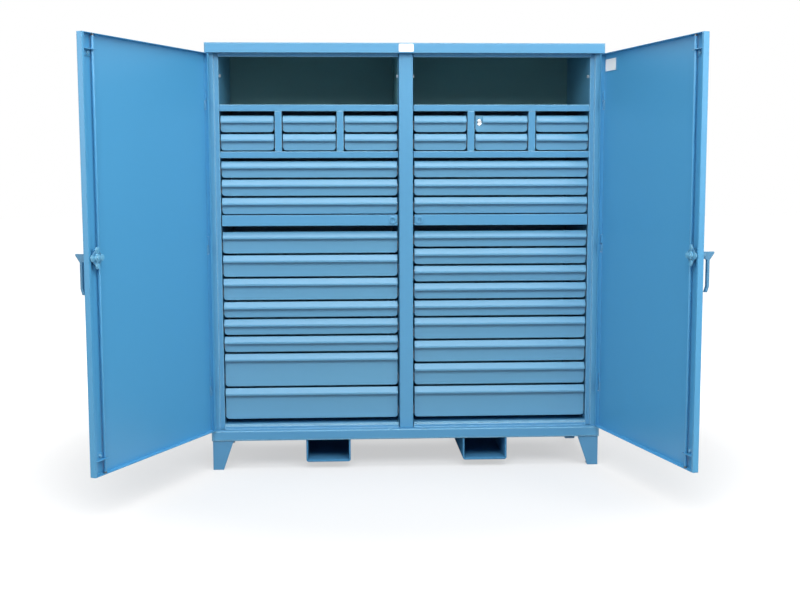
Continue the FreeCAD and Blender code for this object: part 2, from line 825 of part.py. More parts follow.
hinge_lows = (
    add(door_low, size.hinge_end),
    less(half(add(door_low, door_top)), size.knuckle_length),
    less(door_top, size.hinge_end, times(2, size.knuckle_length)),
)
fixed_hinges = []
hung = []
for word, sign in sides:
    out = -sign

    def span(start, end):
        # Low X and width of a stretch measured from the hinge axis towards the free edge.
        return (start if out > 0 else neg(end)), less(end, start)

    # Door leaf: a pan with flanges all round and a narrow lip along both upright edges.
    leaf = doc.addObject("PartDesign::Body", f"{word}_door")
    start = size.door_hinge_gap
    block = [(times(out, start), "0"), (times(out, door_end), "0"),
             (times(out, door_end), size.door_thickness), (times(out, start), size.door_thickness)]
    pad(leaf, f"{word}_door_block",
        outline(leaf, f"{word}_door_plan", "XY_Plane", block, door_low), door_tall)
    wall = size.door_sheet
    hollow_start = add(start, wall)
    hollow_end = less(door_end, wall)
    hollow = [(times(out, hollow_start), wall), (times(out, hollow_end), wall),
              (times(out, hollow_end), less(size.door_thickness, wall)),
              (times(out, less(door_end, size.door_lip)), less(size.door_thickness, wall)),
              (times(out, less(door_end, size.door_lip)), add(size.door_thickness, wall)),
              (times(out, add(start, size.door_lip)), add(size.door_thickness, wall)),
              (times(out, add(start, size.door_lip)), less(size.door_thickness, wall)),
              (times(out, hollow_start), less(size.door_thickness, wall))]
    pocket(leaf, f"{word}_door_hollow",
           outline(leaf, f"{word}_door_hollow_plan", "XY_Plane", hollow, add(door_low, wall)),
           less(door_tall, times(2, wall)), flip=True)
    pocket(leaf, f"{word}_door_rod_holes",
           circles(leaf, f"{word}_door_rod_rings", "XY_Plane", [(times(out, rod_line), rod_depth)],
                   hole_radius, add(door_top, wall)),
           add(door_tall, times(2, wall)))
    pocket(leaf, f"{word}_door_spindle_hole",
           circles(leaf, f"{word}_door_spindle_ring", "XZ_Plane", [(times(out, spindle_line), handle_z)],
                   add(size.spindle_radius, size.spindle_play), neg(times(2, wall))),
           times(4, wall), flip=True)
    notch = [(times(out, neg(size.knuckle_notch)), neg(wall)), (times(out, size.knuckle_notch), neg(wall)),
             (times(out, size.knuckle_notch), size.knuckle_notch),
             (times(out, neg(size.knuckle_notch)), size.knuckle_notch)]
    notch_tall = add(times(2, size.knuckle_length), times(2, size.knuckle_gap))
    fittings = []
    for number, low in enumerate(hinge_lows, start=1):
        pocket(leaf, f"{word}_door_notch_{number}",
               outline(leaf, f"{word}_door_notch_plan_{number}", "XY_Plane", notch,
                       less(low, half(size.knuckle_gap))), notch_tall, flip=True)
        name = f"{word}_hinge_{number}"
        lower = cylinder(f"{name}_lower_barrel", "0", "0", low, size.knuckle_radius, size.knuckle_length)
        pin = cylinder(f"{name}_pin", "0", "0", low, size.pin_radius, add(size.knuckle_length, size.pin_rise))
        strap_x = add(size.seam, size.leaf_sheet)
        strap_low, strap_wide = span(neg(strap_x), neg(size.seam))
        strap = box(f"{name}_strap", strap_low, "0", low, strap_wide, size.leaf_length, size.knuckle_length)
        fixed = fuse(f"{name}_fixed", [lower, pin, strap])
        place(fixed, times(sign, half_width), front, "0")
        fixed_hinges.append(fixed)
        upper_low = add(low, size.knuckle_length, size.knuckle_gap)
        barrel = cylinder(f"{name}_upper_barrel", "0", "0", upper_low, size.knuckle_radius,
                          size.knuckle_length)
        weld_end = less(size.knuckle_notch, size.seam)
        weld_low, weld_wide = span(size.door_hinge_gap, weld_end)
        weld = box(f"{name}_weld", weld_low, "0", upper_low, weld_wide, weld_end, size.knuckle_length)
        bore = cylinder(f"{name}_bore", "0", "0", less(upper_low, size.knuckle_gap),
                        add(size.pin_radius, size.pin_play), add(size.pin_rise, size.knuckle_gap))
        fittings.append(cut(f"{name}_swing", fuse(f"{name}_swing_block", [barrel, weld]), bore))
    hung.append(hang(leaf, sign))

    # Rod guides: an angle near each end of the door, with a leg on the sheet and a hole for the rod.
    for end, low in (
        ("upper", less(door_top, size.guide_end, size.guide_plate)),
        ("lower", add(door_low, size.guide_end)),
    ):
        name = f"{word}_{end}_guide"
        body = doc.addObject("PartDesign::Body", name)
        depth_low = add(wall, size.seam)
        depth_high = less(size.door_thickness, wall)
        leg_depth = add(depth_low, size.guide_plate)
        leg_low = "0" if end == "lower" else less(size.guide_plate, size.guide_height)
        leg_high = size.guide_height if end == "lower" else size.guide_plate
        shelf = [(depth_low, "0"), (depth_high, "0"), (depth_high, size.guide_plate),
                 (depth_low, size.guide_plate)]
        leg = [(depth_low, leg_low), (leg_depth, leg_low), (leg_depth, leg_high),
               (depth_low, leg_high)]
        guide_edge = less(door_end, wall, size.seam)
        near, guide_wide = span(less(rod_line, size.guide_reach), guide_edge)
        pad(body, f"{name}_shelf", outline(body, f"{name}_shelf_profile", "YZ_Plane", shelf), guide_wide)
        pad(body, f"{name}_leg", outline(body, f"{name}_leg_profile", "YZ_Plane", leg), guide_wide)
        centre = [(less(times(out, rod_line), near), rod_depth)]
        pocket(body, f"{name}_hole",
               circles(body, f"{name}_ring", "XY_Plane", centre, add(size.rod_radius, size.guide_play),
                       times(2, size.guide_plate)),
               times(3, size.guide_plate))
        place(body, near, "0", low)
        fittings.append(body)
    centre_x = times(out, spindle_line)
    bush_rim = add(size.spindle_radius, size.spindle_play, size.bush_wall)
    bush = cut(
        f"{word}_bush",
        cylinder(f"{word}_bush_rim", centre_x, neg(less(size.hub_stand, "1")), handle_z, bush_rim,
                 less(size.hub_stand, "1", size.seam), "y"),
        cylinder(f"{word}_bush_bore", centre_x, neg(times(2, size.hub_stand)), handle_z,
                 add(size.spindle_radius, size.spindle_play), times(3, size.hub_stand), "y"),
    )
    fittings.append(bush)
    if word == "right":
        plate_x, plate_wide = span(size.door_plate_inset, add(size.door_plate_inset, size.door_plate_wide))
        fittings.append(
            box("right_door_plate", plate_x, add(wall, size.seam),
                less(door_top, size.door_plate_drop, size.door_plate_tall), plate_wide, size.plate_sheet,
                size.door_plate_tall)
        )
    hung.append(hang(gather(f"{word}_door_fittings", fittings), sign))

    # Handle: a hanging lever on a round hub, its spindle, a crank plate with two pins and a keeper on them.
    name = f"{word}_handle"
    stand = neg(size.hub_stand)
    bar_out = neg(size.handle_bar_out)
    bar_in = neg(less(size.handle_bar_out, size.handle_bar))
    tail = neg(size.handle_length)
    lever_points = [
        (stand, size.hub_radius),
        (neg(size.handle_reach), size.hub_radius),
        (neg(size.handle_reach), half(size.hub_radius)),
        (bar_out, neg(size.handle_wing)),
        (bar_out, add(tail, times(3, size.handle_kink))),
        (add(bar_out, size.handle_kink), tail),
        (add(bar_in, size.handle_kink), tail),
        (bar_in, add(tail, times(3, size.handle_kink))),
        (bar_in, neg(size.handle_wing)),
        (neg(size.handle_neck), neg(size.hub_radius)),
        (stand, neg(size.hub_radius)),
    ]
    lever = prism(f"{name}_lever", "YZ_Plane", lever_points, size.handle_width,
                  x=less(centre_x, half(size.handle_width)), z=handle_z)
    hub = cylinder(f"{name}_hub", centre_x, neg(size.handle_neck), handle_z, size.hub_radius,
                   less(size.handle_neck, size.hub_stand), "y")
    cam_back = add(size.cam_depth, size.cam_sheet)
    keeper_depth = add(rod_depth, size.rod_radius, size.keeper_gap)
    spindle = cylinder(f"{name}_spindle", centre_x, neg(add(size.hub_stand, "1")), handle_z,
                       size.spindle_radius, add(size.hub_stand, "1", cam_back), "y")
    rim = add(size.rod_throw, size.cam_rim)
    crank = [
        (add(centre_x, rim), neg(size.hub_radius)),
        (add(centre_x, rim), size.hub_radius),
        (less(centre_x, rim), size.hub_radius),
        (less(centre_x, rim), neg(size.hub_radius)),
    ]
    cam = prism(f"{name}_crank", "XZ_Plane", crank, size.cam_sheet, y=size.cam_depth, z=handle_z, flip=True)
    pins = []
    for number, way in ((1, 1), (2, -1)):
        pins.append(
            cylinder(f"{name}_crank_pin_{number}", add(centre_x, times(way, size.rod_throw)), size.cam_depth,
                     handle_z, size.crank_pin_radius,
                     less(add(keeper_depth, size.cam_sheet), size.cam_depth), "y")
        )
    diamond = [
        (add(centre_x, size.keeper_half), "0"),
        (centre_x, size.keeper_half),
        (less(centre_x, size.keeper_half), "0"),
        (centre_x, neg(size.keeper_half)),
    ]
    keeper = prism(f"{name}_keeper", "XZ_Plane", diamond, size.cam_sheet, y=keeper_depth, z=handle_z,
                   flip=True)
    hung.append(hang(fuse(name, [lever, hub, spindle, cam, keeper] + pins), sign))

    # Rods: a slotted yoke over one crank pin, and a round bar beside it through the guide and the flange.
    # The slot leaves room for the pin's arc, which leaves the rod's even travel by 0.2106 of the throw.
    room = add(size.crank_pin_radius, size.yoke_play)
    arc_room = add(times(0.2106, size.rod_throw), room)
    upper_depth = add(cam_back, size.crank_gap)
    lower_depth = add(upper_depth, size.yoke_sheet, size.yoke_gap)
    for end, way, depth in (("upper", 1, upper_depth), ("lower", -1, lower_depth)):
        name = f"{word}_{end}_rod"
        # The upper pin starts towards the hinge, so a turn that lifts it swings the lever to that side.
        lean = -out * way
        frame = []
        slot_points = []
        for a, b in ((neg(room), neg(room)), (add(size.rod_throw, room), neg(room)),
                     (add(size.rod_throw, room), arc_room), (neg(room), arc_room)):
            slot_points.append((add(centre_x, times(lean, a)), add(handle_z, times(way, b))))
        edge_room = add(room, size.yoke_wall)
        top_room = add(arc_room, size.yoke_wall)
        tang = add(top_room, times(2, size.rod_radius))
        tang_near = neg(size.rod_radius)
        tang_far = add(less(spindle_line, rod_line), size.rod_radius)
        if way < 0:
            tang_near, tang_far = neg(tang_far), size.rod_radius
        for a, b in ((neg(edge_room), neg(edge_room)), (add(size.rod_throw, edge_room), neg(edge_room)),
                     (add(size.rod_throw, edge_room), top_room), (tang_far, top_room),
                     (tang_far, tang), (tang_near, tang), (tang_near, top_room), (neg(edge_room), top_room)):
            frame.append((add(centre_x, times(lean, a)), add(handle_z, times(way, b))))
        body = doc.addObject("PartDesign::Body", f"{name}_yoke")
        pad(body, f"{name}_yoke_pad", outline(body, f"{name}_yoke_profile", "XZ_Plane", frame),
            size.yoke_sheet, flip=True)
        pocket(body, f"{name}_yoke_slot",
               outline(body, f"{name}_yoke_slot_profile", "XZ_Plane", slot_points,
                       neg(times(2, size.yoke_sheet))),
               times(4, size.yoke_sheet), flip=True)
        place(body, y=depth)
        bar_end = add(handle_z, times(way, add(top_room, half(size.rod_radius))))
        tip = add(door_top, size.rod_show) if way > 0 else less(door_low, size.rod_show)
        low = bar_end if way > 0 else tip
        tall = less(tip, bar_end) if way > 0 else less(bar_end, tip)
        bar = cylinder(f"{name}_bar", times(out, rod_line), rod_depth, low, size.rod_radius, tall)
        hung.append(hang(fuse(name, [body, bar]), sign))
nodes.append(gather("hinge_knuckles", fixed_hinges))

# Small fixings: a blank plate on the header and a bolt head on each cubby wall.
fixings = [
    box("header_plate", neg(half(size.header_plate_wide)), less(front, size.seam, size.plate_sheet),
        add(header_low, half(less(size.header_height, size.header_plate_tall))), size.header_plate_wide,
        size.plate_sheet, size.header_plate_tall)
]
bolt_z = add(half(add(top_rail_top, header_low)), size.bolt_rise)
bolt_y = add(liner_front, size.bolt_back)
for word, sign in sides:
    for hand, spot in (
        ("left", add(bay_left(sign), size.seam)),
        ("right", less(add(bay_left(sign), bay_width), size.seam, size.bolt_head)),
    ):
        fixings.append(
            cylinder(f"{word}_bay_{hand}_bolt", spot, bolt_y, bolt_z, size.bolt_radius, size.bolt_head, "x")
        )
nodes.append(gather("plates_and_bolts", fixings))

# Drawer lock: a plug through the drawer front with a tongue that turns up behind the top rail.
lock_edge = add(bay_left(1), column_width, size.divider_width)
lock_low = add(small_low, size.bank_pitch)
lock_x = add(lock_edge, size.face_side_gap, size.lock_inset)
lock_z = add(lock_low, size.lock_rise)
tongue_y = add(tray_front, size.tray_sheet, size.tongue_clear)
plug_front = less(face_front, size.lock_stand)
plug = cylinder("lock_plug", lock_x, plug_front, lock_z, size.lock_radius,
                less(add(tongue_y, size.tongue_sheet), plug_front), "y")
key_slot = box("lock_key_slot", less(lock_x, half(size.lock_play)), less(plug_front, "1"),
               less(lock_z, half(size.lock_radius)), size.lock_play, add(size.lock_stand, "1"),
               size.lock_radius)
tongue = box("lock_tongue", lock_x, tongue_y, less(lock_z, size.tongue_half),
             add(less(top_rail_low, lock_z), size.tongue_bite), size.tongue_sheet, times(2, size.tongue_half))
nodes.append(cut("drawer_lock", fuse("lock_body", [plug, tongue]), key_slot))

nodes = nodes + hung + worktops + drawers
doc.recompute()
for thing in doc.Objects:
    if "Invalid" in thing.State or "Error" in thing.State:
        raise RuntimeError(f"{thing.Label} did not build: {thing.State}")
    if thing.TypeId == "PartDesign::Pocket" and thing.BaseFeature.Shape.Volume - thing.Shape.Volume < 1:
        raise RuntimeError(f"{thing.Label} cuts nothing")
os.makedirs("parts", exist_ok=True)
for node in nodes:
    shape = node.Shape
    if shape.isNull() or not shape.isValid() or not shape.Solids:
        raise RuntimeError(f"{node.Label} has no valid solid")
    shape.exportStep(f"parts/{node.Label}.step")
print(len(nodes), "nodes,", sum(len(node.Shape.Solids) for node in nodes), "solids")
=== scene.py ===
import bmesh
import bpy
import json
import math
from mathutils import Matrix, Vector


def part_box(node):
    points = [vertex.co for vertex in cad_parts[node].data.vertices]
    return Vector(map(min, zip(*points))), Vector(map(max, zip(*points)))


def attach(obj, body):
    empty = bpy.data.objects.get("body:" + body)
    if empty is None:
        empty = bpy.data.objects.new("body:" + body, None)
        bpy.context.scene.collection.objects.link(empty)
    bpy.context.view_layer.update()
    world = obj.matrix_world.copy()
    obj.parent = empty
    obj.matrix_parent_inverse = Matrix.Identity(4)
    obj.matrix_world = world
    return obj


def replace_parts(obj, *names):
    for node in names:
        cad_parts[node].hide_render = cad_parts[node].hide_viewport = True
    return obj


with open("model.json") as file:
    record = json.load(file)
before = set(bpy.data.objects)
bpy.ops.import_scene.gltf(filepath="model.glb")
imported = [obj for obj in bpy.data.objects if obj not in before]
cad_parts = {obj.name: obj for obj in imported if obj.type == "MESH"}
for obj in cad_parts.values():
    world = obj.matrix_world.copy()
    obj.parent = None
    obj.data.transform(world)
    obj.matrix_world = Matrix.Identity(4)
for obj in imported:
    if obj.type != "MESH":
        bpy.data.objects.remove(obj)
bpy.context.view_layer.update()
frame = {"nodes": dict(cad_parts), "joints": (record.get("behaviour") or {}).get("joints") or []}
nodes = frame["nodes"]
joints = {joint["name"]: joint for joint in frame["joints"]}


# Shader maths: a wire is a socket that can stand in a Python sum.
class Wire:
    def __init__(self, finish, socket):
        self.finish = finish
        self.socket = socket

    def join(self, operation, first, second):
        return self.finish.add("ShaderNodeMath", {"operation": operation}, {0: first, 1: second})

    def __add__(self, other):
        return self.join("ADD", self, other)

    def __sub__(self, other):
        return self.join("SUBTRACT", self, other)

    def __rsub__(self, other):
        return self.join("SUBTRACT", other, self)

    def __mul__(self, other):
        return self.join("MULTIPLY", self, other)

    __radd__ = __add__
    __rmul__ = __mul__

    def most(self, other):
        return self.join("MAXIMUM", self, other)


bendLook = {"samples": 6, "flat": 0.01, "full": 0.25}
seenRays = ("Is Camera Ray", "Is Glossy Ray", "Is Transmission Ray")


# The node tree of a material, or of the world, around one shader
class Finish:
    def __init__(self, owner, shader="ShaderNodeBsdfPrincipled", end="ShaderNodeOutputMaterial"):
        owner.use_nodes = True
        self.owner = owner
        self.tree = owner.node_tree
        self.tree.nodes.clear()
        self.shader = self.tree.nodes.new(shader)
        output = self.tree.nodes.new(end)
        self.tree.links.new(self.shader.outputs[0], output.inputs[0])

    def add(self, kind, settings=None, sockets=None, out=0):
        node = self.tree.nodes.new(kind)
        for key, value in (settings or {}).items():
            setattr(node, key, value)
        for key, value in (sockets or {}).items():
            self.feed(node.inputs[key], value)
        return Wire(self, node.outputs[out])

    def feed(self, socket, value):
        if isinstance(value, Wire):
            self.tree.links.new(value.socket, socket)
        else:
            socket.default_value = value

    def give(self, values):
        for key, value in values.items():
            self.feed(self.shader.inputs[key], value)

    def where(self):
        return self.add("ShaderNodeTexCoord", out="Object")

    def axis(self, letter):
        return self.add("ShaderNodeSeparateXYZ", sockets={0: self.where()}, out=letter)

    def noise(self, scale, detail=1):
        return self.add("ShaderNodeTexNoise", sockets={
            "Vector": self.where(), "Scale": scale, "Detail": detail})

    def step(self, value, low, high):
        return self.add("ShaderNodeMapRange", {"interpolation_type": "SMOOTHSTEP"},
                        {0: value, 1: low, 2: high})

    def inside(self, value, low, high, fade):
        return self.step(value, low, low + fade) * self.step(value, high, high - fade)

    def tint(self, factor, first, second):
        return self.add("ShaderNodeMix", {"data_type": "RGBA"}, {0: factor, 6: first, 7: second}, out=2)

    def bends(self, radius):
        return self.add("ShaderNodeBevel", {"samples": bendLook["samples"]}, {"Radius": radius})

    def edges(self, rounded):
        # 0 on flat faces, rising to 1 along bends and corners
        flat = self.add("ShaderNodeNewGeometry", out="Normal")
        dot = self.add("ShaderNodeVectorMath", {"operation": "DOT_PRODUCT"},
                       {0: rounded, 1: flat}, out="Value")
        return self.step(1 - dot, bendLook["flat"], bendLook["full"])

    def bump(self, height, strength, distance, base=None):
        sockets = {"Height": height, "Strength": strength, "Distance": distance}
        if base is not None:
            sockets["Normal"] = base
        return self.add("ShaderNodeBump", sockets=sockets)

    def seen(self):
        # 1 for the camera and what it sees by reflection, 0 for light that falls on things
        direct, mirrored, through = (self.add("ShaderNodeLightPath", out=ray) for ray in seenRays)
        return direct.most(mirrored).most(through)


# Stove enamel in workshop blue, over steel that shows where a mask asks for it
paintLook = {
    "edgeShare": 0.45,
    "bendRadius": 0.0035,
    "patches": 1.1,       # per metre
    "patchShare": 0.8,
    "speckle": 620,
    "speckShare": 0.2,
    "waves": 1.7,         # slow waves of rolled sheet
    "waveStrength": 0.35,
    "waveHeight": 0.0004,
    "peel": 330,          # orange peel of the sprayed coat
    "peelStrength": 0.12,
    "peelHeight": 0.0002,
    "roughness": 0.34,
    "roughSpread": 0.04,
    "roughPatches": 3,
}
# The two blues mix in patches, and the edge colour lies along bends as a painted highlight, with some wear of
# the coat. A tone may set its own bend and share.
shellTone = {
    "deep": (0.088, 0.314, 0.532, 1),
    "light": (0.094, 0.326, 0.546, 1),
    "edge": (0.24, 0.50, 0.70, 1),
}
# The sill, the posts, the header and the rails carry a strong painted highlight along their bends, seen as
# bright lines on the edges
sillTone = {
    "deep": (0.080, 0.296, 0.520, 1),
    "light": (0.086, 0.308, 0.534, 1),
    "edge": (0.42, 0.80, 0.98, 1),
    "bend": 0.009,
    "share": 0.95,
}
postTone = {
    "deep": (0.080, 0.296, 0.512, 1),
    "light": (0.086, 0.308, 0.526, 1),
    "edge": (0.42, 0.80, 0.98, 1),
    "bend": 0.006,
    "share": 0.8,
}
doorTone = {
    "deep": (0.074, 0.330, 0.590, 1),
    "light": (0.080, 0.344, 0.606, 1),
    "edge": (0.15, 0.43, 0.66, 1),
}
drawerTone = {
    "deep": (0.116, 0.336, 0.522, 1),
    "light": (0.122, 0.348, 0.536, 1),
    "edge": (0.33, 0.58, 0.73, 1),
}
# Darker copy of the blue on the legs, the fork pockets and their welds: painted shade of the low parts under
# the body
shadedBaseTone = {
    "deep": (0.072, 0.252, 0.448, 1),
    "light": (0.078, 0.264, 0.466, 1),
    "edge": (0.18, 0.42, 0.62, 1),
}
# Darker copy of the blue on the handles: painted shade
shadedCastTone = {
    "deep": (0.066, 0.240, 0.420, 1),
    "light": (0.090, 0.280, 0.460, 1),
    "edge": (0.22, 0.45, 0.64, 1),
}
# Lighter copy of the blue with bright edges on the crank bosses and guide bolts: painted highlight
litBossTone = {
    "deep": (0.105, 0.370, 0.590, 1),
    "light": (0.150, 0.430, 0.640, 1),
    "edge": (0.48, 0.75, 0.86, 1),
}
# Greyer colour painted in as shade inside the cubbies, with a rougher surface there
recessShadeLook = {
    "deep": (0.140, 0.320, 0.350, 1),
    "light": (0.154, 0.342, 0.374, 1),
    "rougher": 0.25,
}
steelLook = {
    "bright": (0.27, 0.28, 0.29, 1),
    "dull": (0.16, 0.17, 0.18, 1),
    "grain": 180,
    "grainDetail": 3,
    "roughness": 0.50,
}


def bluePaint(name, tone, bare=None, recessShade=None, gloss=0.5):
    # bare(finish) is 1 on bare steel; the second mask is 1 where a greyer colour is painted in as shade
    # inside the cubbies
    look = paintLook
    finish = Finish(bpy.data.materials.new(name))
    patch = finish.noise(look["patches"])
    speck = finish.noise(look["speckle"])
    mottle = patch * look["patchShare"] + speck * look["speckShare"]
    colour = finish.tint(mottle, tone["deep"], tone["light"])
    rounded = finish.bends(tone.get("bend", look["bendRadius"]))
    # Along bends the lighter edge colour is mixed in: mostly a painted highlight, with some wear of the coat
    wearAndHighlight = finish.edges(rounded) * tone.get("share", look["edgeShare"])
    colour = finish.tint(wearAndHighlight, colour, tone["edge"])
    rough = look["roughness"] + look["roughSpread"] * (finish.noise(look["roughPatches"]) - 0.5)
    wave = finish.bump(finish.noise(look["waves"]), look["waveStrength"], look["waveHeight"], rounded)
    peel = finish.bump(finish.noise(look["peel"]), look["peelStrength"], look["peelHeight"], wave)
    if recessShade:
        recessShadeMask = recessShade(finish)
        recessShadeColour = finish.tint(mottle, recessShadeLook["deep"], recessShadeLook["light"])
        colour = finish.tint(recessShadeMask, colour, recessShadeColour)
        rough = rough + recessShadeLook["rougher"] * recessShadeMask
    if bare:
        metal = bare(finish)
        grain = finish.noise(steelLook["grain"], steelLook["grainDetail"])
        steel = finish.tint(grain, steelLook["dull"], steelLook["bright"])
        colour = finish.tint(metal, colour, steel)
        rough = rough + metal * (steelLook["roughness"] - rough)
        finish.give({"Metallic": metal})
    finish.give({"Base Color": colour, "Roughness": rough, "Normal": peel, "Specular IOR Level": gloss})
    return finish.owner


# Zinc with the crystals of a hot dip, on slides and bolts
zincLook = {
    "dark": (0.40, 0.42, 0.44, 1),
    "pale": (0.66, 0.68, 0.70, 1),
    "crystals": 160,
    "crystalShare": 0.6,
    "clouds": 14,
    "cloudDetail": 3,
    "cloudShare": 0.4,
    "roughness": 0.30,
    "roughSpread": 0.22,
    "skin": 700,
    "skinStrength": 0.12,
    "skinHeight": 0.0002,
}


def zincSteel(name):
    look = zincLook
    finish = Finish(bpy.data.materials.new(name))
    cells = finish.add("ShaderNodeTexVoronoi", {"feature": "F1"},
                       {"Vector": finish.where(), "Scale": look["crystals"]}, "Color")
    crystal = finish.add("ShaderNodeRGBToBW", sockets={0: cells})
    cloud = finish.noise(look["clouds"], look["cloudDetail"])
    mottle = crystal * look["crystalShare"] + cloud * look["cloudShare"]
    finish.give({
        "Base Color": finish.tint(mottle, look["dark"], look["pale"]),
        "Metallic": 1.0,
        "Roughness": look["roughness"] + look["roughSpread"] * crystal,
        "Normal": finish.bump(finish.noise(look["skin"]), look["skinStrength"], look["skinHeight"]),
    })
    return finish.owner


# Chrome on the lock and its rosette, a little smeared
chromeLook = {
    "dark": (0.78, 0.79, 0.80, 1),
    "pale": (0.90, 0.91, 0.92, 1),
    "smears": 120,
    "smearDetail": 4,
    "roughness": 0.12,
    "roughSpread": 0.12,
    "skin": 400,
    "skinDetail": 2,
    "skinStrength": 0.06,
    "skinHeight": 0.0002,
}


def lockChrome(name):
    look = chromeLook
    finish = Finish(bpy.data.materials.new(name))
    smear = finish.noise(look["smears"], look["smearDetail"])
    skinNoise = finish.noise(look["skin"], look["skinDetail"])
    finish.give({
        "Base Color": finish.tint(smear, look["dark"], look["pale"]),
        "Metallic": 1.0,
        "Roughness": look["roughness"] + look["roughSpread"] * smear,
        "Normal": finish.bump(skinNoise, look["skinStrength"], look["skinHeight"]),
    })
    return finish.owner


# White sheet of the two blank plates
whiteLook = {
    "clean": (0.98, 0.98, 0.97, 1),
    "wearAndHighlight": (0.92, 0.92, 0.91, 1),
    "fibres": 260,
    "fibreDetail": 4,
    "fibreShare": 0.7,
    "edgeShare": 0.3,
    "bendRadius": 0.002,
    "roughness": 0.40,
    "roughSpread": 0.15,
    "skinStrength": 0.1,
    "skinHeight": 0.0002,
}


def whitePlate(name):
    look = whiteLook
    finish = Finish(bpy.data.materials.new(name))
    fibre = finish.noise(look["fibres"], look["fibreDetail"])
    edge = finish.edges(finish.bends(look["bendRadius"]))
    shade = fibre * look["fibreShare"] + edge * look["edgeShare"]
    finish.give({
        "Base Color": finish.tint(shade, look["clean"], look["wearAndHighlight"]),
        "Roughness": look["roughness"] + look["roughSpread"] * fibre,
        "Normal": finish.bump(fibre, look["skinStrength"], look["skinHeight"]),
    })
    return finish.owner


# The inside of the cubbies, above the top shelf and between the liners, where a greyer colour is painted in
# as shade
cubbyInside = {"half": 0.8575, "front": -0.226, "back": 0.3045, "low": 1.697, "high": 1.9735, "fade": 0.0015}


def cubbyMask(finish):
    room = cubbyInside
    across = finish.inside(finish.axis("X"), -room["half"], room["half"], room["fade"])
    deep = finish.inside(finish.axis("Y"), room["front"], room["back"], room["fade"])
    return across * deep * finish.inside(finish.axis("Z"), room["low"], room["high"], room["fade"])


shellPaint = bluePaint("shellPaint", shellTone)
# These two paints carry the painted shade inside the cubbies
cubbyPaint = bluePaint("cubbyPaint", shellTone, recessShade=cubbyMask)
sillPaint = bluePaint("sillPaint", sillTone)
postPaint = bluePaint("postPaint", postTone)
railPaint = bluePaint("railPaint", postTone, recessShade=cubbyMask)
doorPaint = bluePaint("doorPaint", doorTone)
basePaint = bluePaint("basePaint", shadedBaseTone)
pocketPaint = bluePaint("pocketPaint", shadedBaseTone, gloss=0.0)  # matt, as on rough tube
shadedCastPaint = bluePaint("shadedCastPaint", shadedCastTone)
litBossPaint = bluePaint("litBossPaint", litBossTone)
zinc = zincSteel("slideZinc")
chrome = lockChrome("lockChrome")
plateWhite = whitePlate("plateWhite")
print("finishes made:", len(bpy.data.materials))


# Sheet edges are broken a little, so that bends and corners catch the light.
softening = {"width": 0.0007, "castWidth": 0.002, "segments": 2, "angle": 30, "weld": 1e-5, "flat": 0.4}


def soften(thing, width):
    join = thing.modifiers.new("join", "WELD")
    join.merge_threshold = softening["weld"]
    flat = thing.modifiers.new("flat", "DECIMATE")
    flat.decimate_type = "DISSOLVE"
    flat.angle_limit = math.radians(softening["flat"])
    edge = thing.modifiers.new("edge", "BEVEL")
    edge.width = width
    edge.segments = softening["segments"]
    edge.limit_method = "ANGLE"
    edge.angle_limit = math.radians(softening["angle"])


def dress(node, material):
    thing = nodes[node]
    if thing.material_slots:
        thing.material_slots[0].material = material
    else:
        thing.data.materials.append(material)


slideLook = {"bar": 0.0095, "start": 0.025, "fade": 0.0002}  # bar beside a tray, behind the front


def drawerPaint(name, node):
    low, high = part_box(node)
    fade = slideLook["fade"]
    left = low.x + slideLook["bar"]
    right = high.x - slideLook["bar"]
    start = low.y + slideLook["start"]

    def bars(finish):
        across = finish.axis("X")
        side = finish.step(across, left, left - fade) + finish.step(across, right, right + fade)
        return side * finish.step(finish.axis("Y"), start, start + fade)

    return bluePaint(name, drawerTone, bare=bars)


rodLook = {"bare": 0.012, "fade": 0.003}


def rodPaint(name, node, way):
    low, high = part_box(node)
    start = (high.z if way > 0 else low.z) - way * rodLook["bare"]

    def tip(finish):
        return finish.step(finish.axis("Z"), start, start + way * rodLook["fade"])

    return bluePaint(name, doorTone, bare=tip)


nodeFinish = {
    "back_panel": cubbyPaint,
    "centre_partition": cubbyPaint,
    "top_header": railPaint,
    "bank_frames": railPaint,
    "door_posts": postPaint,
    "base_sill": sillPaint,
    "legs": basePaint,
    "fork_pockets": pocketPaint,
    "drawer_runners": zinc,
    "drawer_lock": chrome,
}
columns = {}


def finishFor(node):
    if node in nodeFinish:
        return nodeFinish[node]
    if "_drawer_" in node:
        # drawers that stand above each other share one paint
        key = f"{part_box(node)[0].x:.3f}"
        if key not in columns:
            columns[key] = drawerPaint(f"drawerPaint{len(columns)}", node)
        return columns[key]
    if node.endswith(("_door", "_door_fittings")):
        return doorPaint
    if node.endswith("_handle"):
        return shadedCastPaint
    if node.endswith("_rod"):
        return rodPaint(f"{node}Paint", node, 1 if "upper" in node else -1)
    return shellPaint


for node, thing in nodes.items():
    dress(node, finishFor(node))
    soften(thing, softening["castWidth"] if node.endswith("_handle") else softening["width"])
print("nodes dressed:", len(nodes), "with", len(bpy.data.materials), "finishes")


# Drawing small parts: loops of points are skinned into closed shapes.
def faceAt(point, outward):
    # X to the right and Y up along an upright face, Z out of it
    normal = Vector(outward).normalized()
    right = Vector((0, 0, 1)).cross(normal)
    turn = Matrix((right, normal.cross(right), normal)).transposed().to_4x4()
    return Matrix.Translation(point) @ turn


def raised(seat, height):
    return seat @ Matrix.Translation((0, 0, height))


def circle(radius, steps=24, stretch=1.0):
    turns = [2 * math.pi * step / steps for step in range(steps)]
    return [(radius * math.cos(turn), radius * stretch * math.sin(turn)) for turn in turns]


def hexagon(across):
    return circle(across / math.sqrt(3), 6)


def roundedBox(wide, tall, corner, steps=6):
    points = []
    for quarter, (signX, signY) in enumerate(((1, 1), (-1, 1), (-1, -1), (1, -1))):
        for step in range(steps + 1):
            turn = math.pi / 2 * (quarter + step / steps)
            points.append((signX * (wide / 2 - corner) + corner * math.cos(turn),
                           signY * (tall / 2 - corner) + corner * math.sin(turn)))
    return points


